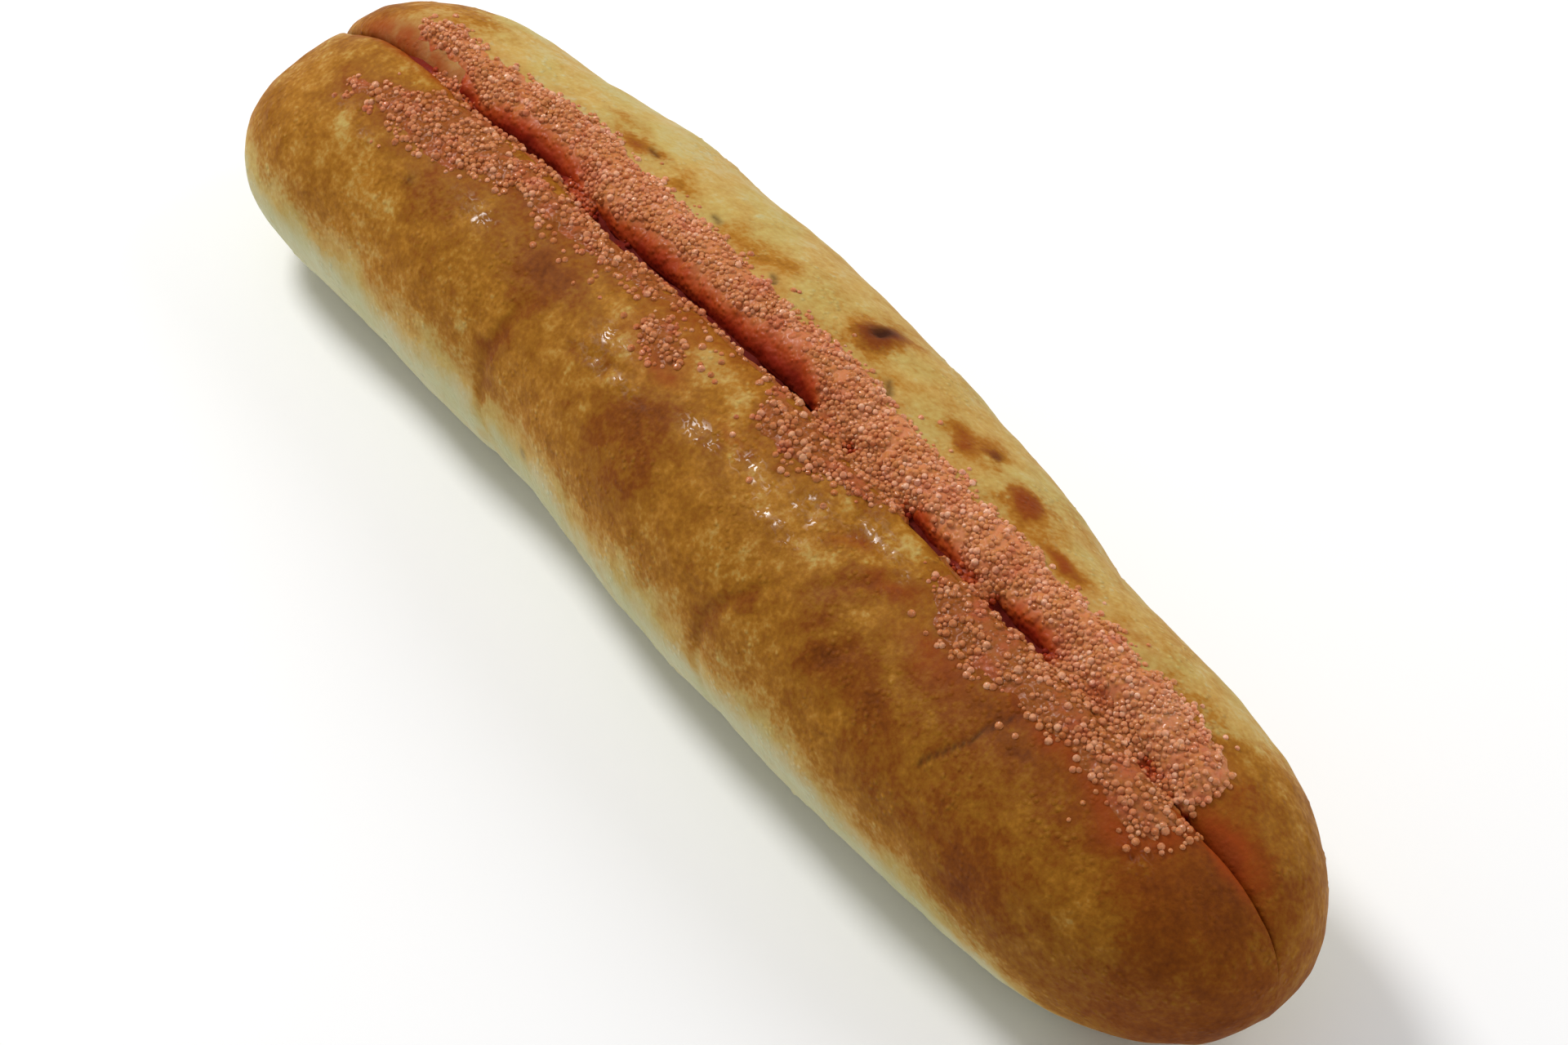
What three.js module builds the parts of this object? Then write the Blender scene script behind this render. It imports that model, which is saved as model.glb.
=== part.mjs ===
// A short baguette, cut open lengthwise along its top and baked again with salted cod roe:
// one loaf with a deep cut, a slab of roe in the cut, and roe spread over the two lips of the cut.
// Millimetres, +Z up. +X runs along the loaf towards its narrower end, and +Y towards the paler flank.
// The origin is the middle of the loaf's box, on the flat face that the loaf rests on.
import * as THREE from "three";

// The loaf
const LENGTH = 245;
const BLUNT_NOSE = { length: 34, power: 2.3 };
const NARROW_NOSE = { length: 49, power: 2.2 };
const BROWN_FLANK = [35, 27, 25, 25.5, 24.5, 26, 28, 29, 29, 28, 27.5, 27.5, 26.5]; // widths, end to end
const PALE_FLANK = [25.5, 28, 30.5, 34.5, 35, 35, 34, 33, 30.5, 26.5, 26.5, 27.5, 26.5];
const CROWN = [44, 45.5, 48.5, 46, 45.5]; // heights of the top, end to end
const BROWN_SIDE_LOWER = 1.5; // the brown side's lip stands this much lower than the pale side's
const WIDEST_AT = 0.45; // height of the widest line, as a share of the crown
const SECTION_POWER = 2.3; // 2 is an ellipse, more is squarer
const UNDERCUT = 1.5; // how far the section would reach below the resting face

// The cut
const CUT_LINE = [-7, -4.5, -0.5, 1, 0.5, 1.3, 1, 1.2, 0.5, 0.5, 0.5, -0.5, 2]; // its sideways wander
const CUT_HALF_GAP = [0.8, 0.9, 1, 1.1, 1.2, 1.4, 1.4, 1, 1, 1.2, 1, 0.9, 0.8];
const CUT_DEPTH = 26;
const CUT_FLOOR_HALF_GAP = 0.7;
const LIP = { brown: { width: 3.6, drop: 2.4 }, pale: { width: 7, drop: 4.8 } };
const LIP_SHARE_AT_NOSE = 1.3; // the lips shrink with the nose, a little later than it does

// The roe
const GAP = 0.3; // clearance between the roe and the bread
const SLAB = { from: -101, to: 108, steps: 38, floor: 2, dip: 0.6 };
const SLAB_BELOW_CROWN = [7, 6, 10, 11, 12, 12, 6, 5, 8, 11, 5.5, 5.5, 7]; // end to end of the loaf
const SPREAD_EDGE = 0.4; // thickness at the rim of a patch
const SPREAD_THICKNESS = 1.4;
const SPREAD_STEP = 3;
const SPREAD_LEAST_STEPS = 5;
const SPREAD_LEAST_WIDTH = 1.2;
const SPREAD_END_ROUNDING = 0.12; // least rounding factor, so that a patch ends in an edge and not a point
const SPREAD_ACROSS = 8;
const SPREAD_INNER_TURN = 62; // degrees that the lip has turned down where the roe on it begins
const SPREAD_ROUNDING = 4; // a higher power keeps a patch wide for longer towards its ends

// Each patch of roe on a lip: reach is its outer edge and start its inner edge, as distances from the cut.
const SPREADS = [
  {
    name: "roe_band_pale_lip",
    side: 1,
    from: -103,
    to: 103,
    reach: [4, 8, 10.5, 12, 14, 12, 11, 10.5, 12, 11.5, 11, 10, 9, 10.5, 9, 4.5],
  },
  {
    name: "roe_patch_blunt_end",
    side: -1,
    from: -100,
    to: -20,
    reach: [10, 11, 11.5, 11.5, 11.5, 10.5, 7.5, 6.5, 4.6],
    start: [7.5, 4, 0, 0, 0, 0, 0, 0, 0],
  },
  {
    name: "roe_patch_island",
    side: -1,
    from: -21,
    to: -6,
    reach: [10.5, 12.5, 12, 11],
    start: [9, 7.5, 7, 9],
  },
  {
    name: "roe_patch_middle",
    side: -1,
    from: 5,
    to: 38,
    reach: [6, 10.5, 10, 7, 4.6],
  },
  {
    name: "roe_patch_narrow_end",
    side: -1,
    from: 50,
    to: 108,
    reach: [7, 10, 11, 10, 9.5, 9.5, 6, 4],
  },
];

// Evenly spaced values from one end of [from, to] to the other, joined by a Catmull-Rom curve.
function along(values, x, from = -LENGTH / 2, to = LENGTH / 2) {
  const last = values.length - 1;
  const place = THREE.MathUtils.clamp(((x - from) / (to - from)) * last, 0, last - 1e-9);
  const i = Math.floor(place);
  const t = place - i;
  const b = values[i];
  const c = values[i + 1];
  const a = values[i - 1] ?? 2 * b - c;
  const d = values[i + 2] ?? 2 * c - b;
  const linear = c - a;
  const square = 2 * a - 5 * b + 4 * c - d;
  const cube = 3 * b - a - 3 * c + d;
  return 0.5 * (2 * b + linear * t + square * t ** 2 + cube * t ** 3);
}

// How full the loaf is at x: 1 along its body, falling to 0 at the tip of each nose.
function fullness(x) {
  const nose = x < 0 ? BLUNT_NOSE : NARROW_NOSE;
  const inside = Math.min(1, (LENGTH / 2 - Math.abs(x)) / nose.length);
  return (1 - (1 - inside) ** nose.power) ** (1 / nose.power);
}

// Every size of the cross-section at x.
function sectionAt(x) {
  const full = fullness(x);
  const crown = along(CROWN, x);
  const middle = WIDEST_AT * crown;
  const lipShare = Math.min(1, LIP_SHARE_AT_NOSE * full);
  return {
    x,
    middle,
    rise: (crown - middle) * full,
    fall: (middle + UNDERCUT) * full,
    brown: along(BROWN_FLANK, x) * full,
    pale: along(PALE_FLANK, x) * full,
    lower: BROWN_SIDE_LOWER * full,
    cut: along(CUT_LINE, x) * lipShare,
    halfGap: along(CUT_HALF_GAP, x) * lipShare,
    floorHalfGap: CUT_FLOOR_HALF_GAP * lipShare,
    floor: middle + (crown - middle - CUT_DEPTH) * full,
    lipShare,
  };
}

// The outside of the section at an angle from the widest line: 90 degrees is the top, -90 the bottom.
function outsideAt(section, side, angle) {
  const width = side < 0 ? section.brown : section.pale;
  const rise = side < 0 ? section.rise - section.lower : section.rise;
  const across = Math.max(0, Math.cos(angle)) ** (2 / SECTION_POWER);
  const upright = Math.abs(Math.sin(angle)) ** (2 / SECTION_POWER);
  const z = section.middle + (angle > 0 ? rise : -section.fall) * upright;
  return new THREE.Vector2(side * width * across, Math.max(0, z));
}

// Where the outside turns over into a lip: the lip's width, drop, and the angle and height it starts at.
function lipAt(section, side) {
  const { width, drop } = side < 0 ? LIP.brown : LIP.pale;
  const flank = side < 0 ? section.brown : section.pale;
  const reach = width * section.lipShare + side * section.cut;
  const angle = Math.acos(Math.min(1, reach / flank) ** (SECTION_POWER / 2));
  return {
    width: width * section.lipShare,
    drop: drop * section.lipShare,
    angle,
    top: outsideAt(section, side, angle).y,
  };
}

// A point on the lip, which turns from level (0) to straight down into the cut (90 degrees).
function onLip(section, side, lip, turn) {
  const fromCut = section.halfGap + (lip.width - section.halfGap) * (1 - Math.sin(turn));
  return new THREE.Vector2(section.cut + side * fromCut, lip.top - lip.drop * (1 - Math.cos(turn)));
}

// Half of the section's outline, from the bottom centre round one flank and down into the cut.
const FLANK_STEPS = 17;
const LIP_STEPS = 4;
const WALL_STEPS = 3;
function halfOutline(section, side) {
  const lip = lipAt(section, side);
  const points = [];
  for (let i = 0; i < FLANK_STEPS; i++) {
    const angle = THREE.MathUtils.lerp(-Math.PI / 2, lip.angle, i / FLANK_STEPS);
    points.push(outsideAt(section, side, angle));
  }
  for (let i = 0; i <= LIP_STEPS; i++) {
    points.push(onLip(section, side, lip, (i / LIP_STEPS) * (Math.PI / 2)));
  }
  const edge = points[points.length - 1];
  const floor = new THREE.Vector2(section.cut + side * section.floorHalfGap, section.floor);
  for (let i = 1; i <= WALL_STEPS; i++) points.push(edge.clone().lerp(floor, i / WALL_STEPS));
  return points;
}

function outline(section) {
  const pale = halfOutline(section, 1);
  const brown = halfOutline(section, -1).slice(1).reverse();
  return [...pale, ...brown].map((p) => new THREE.Vector3(section.x, p.x, p.y));
}

// One closed surface through rings of equally many points, closed by a point or a flat cap at each end.
function loft(rings, firstTip, lastTip) {
  const around = rings[0].length;
  const points = [...rings.flat(), firstTip, lastTip];
  const first = rings.length * around;
  const faces = [];
  for (let j = 0; j < around; j++) {
    const next = (j + 1) % around;
    for (let i = 0; i < rings.length - 1; i++) {
      const a = i * around + j;
      const b = i * around + next;
      faces.push(a, b, b + around, a, b + around, a + around);
    }
    faces.push(first, next, j);
    faces.push(first + 1, first - around + j, first - around + next);
  }
  const geometry = new THREE.BufferGeometry().setFromPoints(points);
  geometry.setIndex(faces);
  geometry.computeVertexNormals();
  return geometry;
}

function middleOf(ring) {
  const sum = ring.reduce((total, p) => total.add(p), new THREE.Vector3());
  return sum.divideScalar(ring.length);
}

// Sections crowd together towards each tip, so that the noses are round.
const NOSE_STEPS = 9;
const FIRST_NOSE_ANGLE = 9;
const BODY_STEP = 5.4;
function loafStations() {
  const half = LENGTH / 2;
  const noseAt = (nose) =>
    Array.from({ length: NOSE_STEPS }, (_, i) => {
      const angle = THREE.MathUtils.lerp(FIRST_NOSE_ANGLE, 90, i / NOSE_STEPS);
      return half - nose.length * (1 - Math.cos(THREE.MathUtils.degToRad(angle)));
    });
  const from = -half + BLUNT_NOSE.length;
  const to = half - NARROW_NOSE.length;
  const steps = Math.round((to - from) / BODY_STEP);
  const body = Array.from({ length: steps + 1 }, (_, i) => from + ((to - from) * i) / steps);
  const blunt = noseAt(BLUNT_NOSE).map((x) => -x);
  return [...blunt, ...body, ...noseAt(NARROW_NOSE).reverse()];
}

function loafGeometry() {
  const tip = (x) => new THREE.Vector3(x, 0, WIDEST_AT * along(CROWN, x));
  const rings = loafStations().map((x) => outline(sectionAt(x)));
  return loft(rings, tip(-LENGTH / 2), tip(LENGTH / 2));
}

// The roe in the cut: as wide as the cut less the clearance, with a slightly hollow top.
function slabRing(x) {
  const section = sectionAt(x);
  const lip = lipAt(section, -1);
  const wallTop = lip.top - lip.drop;
  const low = section.floor + SLAB.floor;
  const high = section.middle + section.rise - along(SLAB_BELOW_CROWN, x);
  const halfWidthAt = (z) => {
    const up = Math.min(1, (z - section.floor) / (wallTop - section.floor));
    return THREE.MathUtils.lerp(section.floorHalfGap, section.halfGap, up) - GAP;
  };
  const corner = (side, z) => new THREE.Vector3(x, section.cut + side * halfWidthAt(z), z);
  const heights = [low, (low + high) / 2, high];
  const hollow = new THREE.Vector3(x, section.cut, high - SLAB.dip);
  const paleSide = heights.map((z) => corner(1, z));
  const brownSide = heights.map((z) => corner(-1, z)).reverse();
  return [...paleSide, hollow, ...brownSide];
}

function slabGeometry() {
  const rings = Array.from({ length: SLAB.steps + 1 }, (_, i) =>
    slabRing(THREE.MathUtils.lerp(SLAB.from, SLAB.to, i / SLAB.steps)),
  );
  return loft(rings, middleOf(rings[0]), middleOf(rings[rings.length - 1]));
}

// The top of the bread at a distance from the cut, with the direction that it faces.
function topAt(section, side, fromCut) {
  const lip = lipAt(section, side);
  const flank = side < 0 ? section.brown : section.pale;
  const heightAt = (distance) => {
    if (distance < lip.width) {
      const share = (lip.width - distance) / (lip.width - section.halfGap);
      return lip.top - lip.drop * (1 - Math.sqrt(1 - Math.min(1, share) ** 2));
    }
    const reach = Math.min(1, (distance + side * section.cut) / flank);
    return outsideAt(section, side, Math.acos(reach ** (SECTION_POWER / 2))).y;
  };
  const nudge = 0.05;
  const slope = (heightAt(fromCut + nudge) - heightAt(fromCut - nudge)) / (2 * nudge);
  const point = new THREE.Vector2(section.cut + side * fromCut, heightAt(fromCut));
  return { point, facing: new THREE.Vector2(-side * slope, 1).normalize() };
}

// The inner rim of a patch, as a distance from the cut: part of the way down the turn of the lip.
function innerRim(section, side) {
  const lip = lipAt(section, side);
  const turned = Math.sin(THREE.MathUtils.degToRad(SPREAD_INNER_TURN));
  return section.halfGap + (lip.width - section.halfGap) * (1 - turned);
}

// A patch of roe on a lip: its underside follows the bread, and it is thickest in the middle.
// endShare runs from -1 at one end of the patch to 1 at the other.
function spreadRing(spread, x, endShare) {
  const section = sectionAt(x);
  const start = spread.start ? along(spread.start, x, spread.from, spread.to) : 0;
  const inner = Math.max(innerRim(section, spread.side), start);
  const outer = Math.max(inner + SPREAD_LEAST_WIDTH, along(spread.reach, x, spread.from, spread.to));
  const endRounding = Math.max(0, 1 - Math.abs(endShare) ** SPREAD_ROUNDING);
  const centre = (inner + outer) / 2;
  const halfWidth = ((outer - inner) / 2) * Math.sqrt(Math.max(SPREAD_END_ROUNDING, endRounding));
  const under = [];
  const over = [];
  for (let i = 0; i <= SPREAD_ACROSS; i++) {
    const share = -Math.cos((i / SPREAD_ACROSS) * Math.PI);
    const { point, facing } = topAt(section, spread.side, centre + share * halfWidth);
    const dome = Math.sqrt(Math.max(0, (1 - share ** 2) * endRounding));
    const thickness = THREE.MathUtils.lerp(SPREAD_EDGE, SPREAD_THICKNESS, dome);
    const bottom = point.clone().addScaledVector(facing, GAP);
    const top = bottom.clone().addScaledVector(facing, thickness);
    under.push(new THREE.Vector3(x, bottom.x, bottom.y));
    over.push(new THREE.Vector3(x, top.x, top.y));
  }
  const ring = [...under, ...over.reverse()];
  return spread.side > 0 ? ring : ring.reverse();
}

function spreadGeometry(spread) {
  const steps = Math.max(SPREAD_LEAST_STEPS, Math.round((spread.to - spread.from) / SPREAD_STEP));
  const rings = Array.from({ length: steps + 1 }, (_, i) => {
    const x = THREE.MathUtils.lerp(spread.from, spread.to, i / steps);
    return spreadRing(spread, x, (2 * i) / steps - 1);
  });
  return loft(rings, middleOf(rings[0]), middleOf(rings[rings.length - 1]));
}

const crust = new THREE.MeshStandardMaterial({ color: 0xb07a35, roughness: 0.5, metalness: 0 });
const roe = new THREE.MeshStandardMaterial({ color: 0xc9704a, roughness: 0.3, metalness: 0 });
const meltedRoe = new THREE.MeshStandardMaterial({ color: 0x8a2414, roughness: 0.3, metalness: 0 });

function named(name, geometry, material) {
  const mesh = new THREE.Mesh(geometry, material);
  mesh.name = name;
  return mesh;
}

const baguette = new THREE.Group();
baguette.add(named("loaf", loafGeometry(), crust));
baguette.add(named("roe_filling", slabGeometry(), meltedRoe));
for (const spread of SPREADS) baguette.add(named(spread.name, spreadGeometry(spread), roe));

// The flanks differ in width, so the finished group is moved until the origin is the middle of its box.
const middle = new THREE.Box3().setFromObject(baguette).getCenter(new THREE.Vector3());
baguette.position.set(-middle.x, -middle.y, 0);

export default baguette;
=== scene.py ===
"""A short baguette, cut open along its top and baked again with salted cod roe.

The loaf's crust, the roe in the cut and the roe on the two lips of the cut are made here, around the
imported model. Lengths in the tables and helpers are in millimetres, and meshes are made in metres.
"""

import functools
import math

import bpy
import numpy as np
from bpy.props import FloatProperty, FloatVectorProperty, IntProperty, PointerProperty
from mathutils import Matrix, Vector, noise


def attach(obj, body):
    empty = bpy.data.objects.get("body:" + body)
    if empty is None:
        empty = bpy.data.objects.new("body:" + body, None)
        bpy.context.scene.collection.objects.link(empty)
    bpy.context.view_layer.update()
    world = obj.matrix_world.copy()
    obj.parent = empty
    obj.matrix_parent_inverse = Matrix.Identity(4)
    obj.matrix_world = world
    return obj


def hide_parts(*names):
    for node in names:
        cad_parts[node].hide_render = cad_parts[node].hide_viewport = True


bl_info = {
    "name": "Baguette with Cod Roe",
    "version": (1, 0, 0),
    "blender": (4, 5, 0),
    "location": "View3D > Sidebar > Baguette",
    "description": "Builds a split baguette with baked cod roe, its floor and its lights",
    "category": "Object",
}

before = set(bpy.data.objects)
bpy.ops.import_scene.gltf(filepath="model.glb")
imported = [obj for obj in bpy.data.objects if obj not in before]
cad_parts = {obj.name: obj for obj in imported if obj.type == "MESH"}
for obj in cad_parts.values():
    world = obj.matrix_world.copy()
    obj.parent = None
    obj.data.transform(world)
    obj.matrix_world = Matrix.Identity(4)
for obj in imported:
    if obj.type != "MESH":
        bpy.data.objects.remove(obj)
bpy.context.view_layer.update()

MM = 0.001
PALE_LIP = "roe_band_pale_lip"
BLUNT_END = "roe_patch_blunt_end"
ISLAND = "roe_patch_island"
ROE_MATERIAL = "baked_roe"
GRAIN_TREE = "roe_grains"
GRAIN_SHAPE = "roe_grain_shape"
AIM = (0, -3, 23)  # in mm, the point at the middle of the view before its offsets to the right and up
MOST_GRAINS = 2.4  # grains tried for per square of the least distance between them
TINT_SEED = 3
FILLING_SEED = 20  # added to the roe's seed, so that the filling's grains fall differently


# ---- settings


def length(name, description, default):
    return FloatProperty(
        name=name, description=description, default=default, min=0, subtype="DISTANCE", unit="LENGTH"
    )


def share(name, description, default, high=1.0):
    return FloatProperty(name=name, description=description, default=default, min=0, max=high)


def number(name, description, default):
    return FloatProperty(name=name, description=description, default=default)


def colour(name, description, default):
    return FloatVectorProperty(
        name=name, description=description, default=default, size=3, min=0, max=1, subtype="COLOR"
    )


class LoafSettings(bpy.types.PropertyGroup):
    """The loaf's unevenness and the colours of its crust"""

    step_along: length("Step along", "Mesh spacing along the loaf", 0.0007)
    step_around: length("Step around", "Mesh spacing round the upper crust", 0.00075)
    lump_height: length("Lump height", "Broad unevenness left by shaping the dough", 0.0006)
    dimple_height: length("Dimple height", "Shallow dimples of the baked skin", 0.00018)
    wrinkle_height: length("Wrinkle height", "Wrinkles of the buttered skin beside the cut", 0.000544)
    pale: colour("Pale crust", "Crust low on the flanks, shaded from the heat", (0.57, 0.55, 0.34))
    straw: colour("Straw crust", "Lightly baked crust", (0.53, 0.325, 0.085))
    honey: colour("Honey crust", "Buttered skin beside the cut", (0.39, 0.158, 0.012))
    golden: colour("Golden crust", "Crust over most of the loaf", (0.285, 0.108, 0.006))
    brown: colour("Brown crust", "Well baked crust", (0.215, 0.056, 0.002))
    dark: colour("Dark crust", "The darkest baked patches", (0.105, 0.020, 0.001))
    char: colour("Char", "Burnt blisters", (0.045, 0.010, 0.002))
    stain: colour("Stain", "Crust soaked with melted roe", (0.29, 0.045, 0.003))
    # Darkest red deep in the cut and in the closed crease: partly soaked crumb, partly painted shade.
    deep_stain_and_shade: colour("Deep stain", "Crumb deep in the cut", (0.15, 0.012, 0.001))


class RoeSettings(bpy.types.PropertyGroup):
    """The grains of roe and the paste between them"""

    grain: length("Grain", "Diameter of one grain of roe", 0.00094)
    spacing: length("Spacing", "Least distance between grains", 0.0007)
    thickness: length("Thickness", "Thickness of the paste between the grains", 0.0009)
    sink: share("Sink", "Share of a grain that is sunk in the paste", 0.78)
    variation: share("Variation", "How much the grains differ in size", 0.42)
    seed: IntProperty(name="Seed", description="Where the grains fall", default=7)
    pink: colour("Pink grain", "Grains that stayed pink", (0.76, 0.32, 0.165))
    orange: colour("Orange grain", "Grains that browned", (0.58, 0.21, 0.055))
    milky: colour("Milky grain", "Grains that turned opaque", (0.86, 0.45, 0.28))
    paste: colour("Paste", "The butter and roe between the grains", (0.60, 0.215, 0.085))
    soaked: colour("Thin paste", "Paste so thin that the crust shows through", (0.32, 0.095, 0.012))


class StageSettings(bpy.types.PropertyGroup):
    """The floor, the lights and the view"""

    floor: colour("Floor", "Plain pale floor", (0.95, 0.95, 0.95))
    azimuth: number("Azimuth", "Turn of the view", 54.4)
    elevation: number("Elevation", "Height of the view", 44.8)
    distance: length("Distance", "From the camera to the loaf's middle", 0.774)
    lens: number("Lens", "Focal length in mm", 117.0)
    aim_right: number("Aim right", "Offset of the aim", 0.00335)
    aim_up: number("Aim up", "Offset of the aim", -0.00645)
    key: number("Key light", "Power of the key light in watts", 6.5)
    fill: number("Fill light", "Power of the fill light in watts", 4.0)
    sky: number("Sky", "Strength of the even light", 0.45)


# ---- the CAD solids as grids


def merged(name):
    """A CAD node's points in millimetres, with the ones that coincide merged, and its edges."""
    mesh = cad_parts[name].data
    places = np.empty(len(mesh.vertices) * 3)
    mesh.vertices.foreach_get("co", places)
    points, place_of = np.unique((places.reshape(-1, 3) / MM).round(4), axis=0, return_inverse=True)
    mesh.calc_loop_triangles()
    corners = np.empty(len(mesh.loop_triangles) * 3, int)
    mesh.loop_triangles.foreach_get("vertices", corners)
    triangles = place_of.ravel()[corners].reshape(-1, 3)
    edges = np.concatenate([triangles[:, [0, 1]], triangles[:, [1, 2]], triangles[:, [2, 0]]])
    return points, np.unique(np.sort(edges, axis=1), axis=0)


def loaf_rings():
    """The loaf's cross-sections from the -X tip to the +X tip, as an array (section, point, xyz).

    Each starts at the bottom, climbs the +Y flank, goes down into the cut and comes back by -Y."""
    points, edges = merged("loaf")
    x = points[:, 0]
    tips = points[x.argmin()], points[x.argmax()]
    level = edges[np.abs(x[edges[:, 0]] - x[edges[:, 1]]) < 1e-3]
    beside = {}
    for a, b in level:
        beside.setdefault(a, []).append(b)
        beside.setdefault(b, []).append(a)
    rings = []
    for at in np.unique(x)[1:-1]:
        members = np.flatnonzero(np.abs(x - at) < 1e-3)
        bottom = members[np.abs(points[members, 1] - tips[0][1]) < 0.01]
        first = bottom[points[bottom, 2].argmin()]
        ring = [first, max(beside[first], key=lambda i: points[i, 1])]
        while len(ring) < len(members):
            ring.append(next(i for i in beside[ring[-1]] if i != ring[-2]))
        rings.append(points[ring])
    ends = [np.repeat(tip[None], len(rings[0]), 0) for tip in tips]
    return np.array([ends[0], *rings, ends[1]])


def smooth_between(lines, pieces, closed):
    """Points on smooth curves through lines[0], lines[1], ..., pieces[i] of them after lines[i].

    The curves are cubic with chord-length spacing, so uneven steps make no bulges."""
    count = len(lines)
    after = np.roll(lines, -1, 0)
    chord = np.linalg.norm(after - lines, axis=-1, keepdims=True) + 1e-6
    slope = (after - lines) / chord
    slope_before, chord_before = np.roll(slope, 1, 0), np.roll(chord, 1, 0)
    tangent = (slope_before * chord + slope * chord_before) / (chord + chord_before)
    if not closed:
        tangent[0], tangent[-1] = slope[0], slope[-2]
    made = []
    for i in range(count if closed else count - 1):
        j = (i + 1) % count
        for t in np.arange(pieces[i]) / pieces[i]:
            made.append(
                (2 * t**3 - 3 * t**2 + 1) * lines[i]
                + (t**3 - 2 * t**2 + t) * chord[i] * tangent[i]
                + (3 * t**2 - 2 * t**3) * lines[j]
                + (t**3 - t**2) * chord[i] * tangent[j]
            )
    if not closed:
        made.append(lines[-1])
    return np.array(made)


# ---- noise and masks


def ripple(points, size, seed=0.0):
    """Smooth noise from -1 to 1 with features of about this size, in the points' own units."""
    places = np.asarray(points, float) / size + seed * 13.7
    return np.array([noise.noise(p) for p in places.reshape(-1, 3).tolist()]).reshape(places.shape[:-1])


def ramp(value, low, high):
    """0 up to low, 1 from high on, and a smooth rise between."""
    t = np.clip((value - low) / (high - low), 0, 1)
    return t * t * (3 - 2 * t)


def bell(value, reach):
    """1 where the value is 0, falling smoothly to almost 0 at twice the reach."""
    return np.exp(-((value / reach) ** 2))


def spot(points, x, y, reach_x, reach_y, turn=0.0):
    """A soft round mask about a place seen from above, 1 in the middle."""
    c, s = math.cos(math.radians(turn)), math.sin(math.radians(turn))
    dx, dy = points[..., 0] - x, points[..., 1] - y
    u, v = c * dx + s * dy, c * dy - s * dx
    return np.exp(-((u / reach_x) ** 2) - (v / reach_y) ** 2)


def furrow(points, stops, width):
    """A mask along a line through stops (x, y), seen from above, 1 on the line."""
    best = np.full(points.shape[:-1], 1e9)
    flat = points[..., :2]
    for a, b in zip(stops[:-1], stops[1:]):
        a, b = np.array(a, float), np.array(b, float)
        t = np.clip(((flat - a) @ (b - a)) / ((b - a) @ (b - a)), 0, 1)
        best = np.minimum(best, np.linalg.norm(flat - a - t[..., None] * (b - a), axis=-1))
    return bell(best, width)


# ---- the loaf's skin

# Browner and lighter places: x, y, reach along, reach across, turn in degrees, strength.
BLOTCHES = (
    (-41, -16, 8, 4.5, 0, 0.24),
    (-34, -15, 5, 3, 0, 0.16),
    (-40, -24.5, 2.4, 4, -20, 0.15),
    (-44, -22, 4, 3, 0, -0.04),
    (-70, -18.5, 9, 2.2, 0, 0.16),
    (-5, -21, 6.5, 4, 10, 0.32),
    (0, -25.7, 5, 3, 30, 0.24),
    (-12, -26, 6, 4, 10, 0.1),
    (8, -18, 5, 1.2, -20, 0.12),
    (30, -27.5, 5, 1.6, 45, 0.08),
    (46, -13.7, 3, 1.5, 40, 0.18),
    (42, -21.8, 5, 1.6, 50, 0.2),
    (46, -26, 5, 3, 0, 0.2),
    (59, -25.4, 6, 3.4, 0, 0.32),
    (62, -17, 8, 4, 0, 0.14),
    (78, -16, 12, 3, 0, 0.16),
    (86, -29, 6, 2.4, 0, 0.14),
    (100, -24, 9, 6, 0, -0.1),
    (112, -8, 8, 8, 0, 0.12),
    (-24, -12, 10, 3.5, 0, -0.06),
    (-20, -19, 8, 2.4, 0, -0.08),
    (0, -13, 9, 3.5, 0, -0.07),
    (12, -17, 5, 1.6, 0, -0.08),
    (22, -17, 7, 2.2, 0, -0.09),
    (30, -13, 8, 3, 0, -0.07),
    (36, -18, 5, 2, 0, -0.06),
    (42, -10, 7, 3.5, 0, -0.06),
    (94, 15, 6, 5, 0, -0.16),
    (104, 12, 6, 5, 0, -0.1),
    (3.4, 16.6, 3.6, 4.6, 0, 0.46),
    (28, 14.5, 3.6, 2.4, 0, 0.3),
    (33, 15.8, 1.6, 1.4, 0, 0.45),
    (44, 12.9, 4.4, 2.4, -20, 0.7),
    (56, 9.8, 3.6, 1.6, 0, 0.56),
    (-20, 12, 8, 3, 0, 0.14),
    (-62, 14, 9, 2.5, 0, 0.12),
    (-112, 2, 8, 4, 0, 0.3),
    (-99, 9, 9, 4.5, 0, 0.2),
    (-54, 12.4, 5, 2.2, 0, 0.32),
    (-43, 12.6, 4, 2, 0, 0.16),
    (6, 13, 3.4, 2, 0, 0.22),
    (-52, -9, 12, 4, 0, 0.12),
    (-60, -16, 8, 5, 0, 0.06),
    (30, 12, 4, 1.8, 0, 0.3),
    (-102, 12, 6, 2.5, 0, 0.2),
    (-6, -8, 8, 3, 0, -0.16),
    (30, -8, 6, 2.6, 0, -0.12),
    (42, -7, 5, 3, 0, -0.12),
    (102, -22, 5, 3, 0, -0.1),
    (-90, -21, 14, 5, 0, -0.06),
)
# Burnt places: x, y, reach along, reach across, strength.
BURNS = (
    (2.6, 17.6, 1.6, 2.4, 0.85),
    (3.4, 16.4, 2.6, 3.8, 0.36),
    (33, 15.9, 0.9, 0.8, 0.45),
    (-73, -18.6, 0.7, 0.7, 0.5),
)
BURNT_DOT = (-28, -27.6, 20.8)  # a single dark dot on the brown flank: x, y, z
# Hairline cracks: the points they run through, width.
CRACKS = (
    (((76, -13), (74.5, -17), (74, -20), (72, -23), (70, -25.6)), 0.36),
    (((13.4, 10.6), (16.2, 8.8)), 0.6),
    (((-15, 9.8), (-13, 8.8)), 0.55),
    (((-53, 13.5), (-51, 13.2)), 0.6),
    (((-33, 11.6), (-31, 11.2)), 0.6),
)
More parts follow.
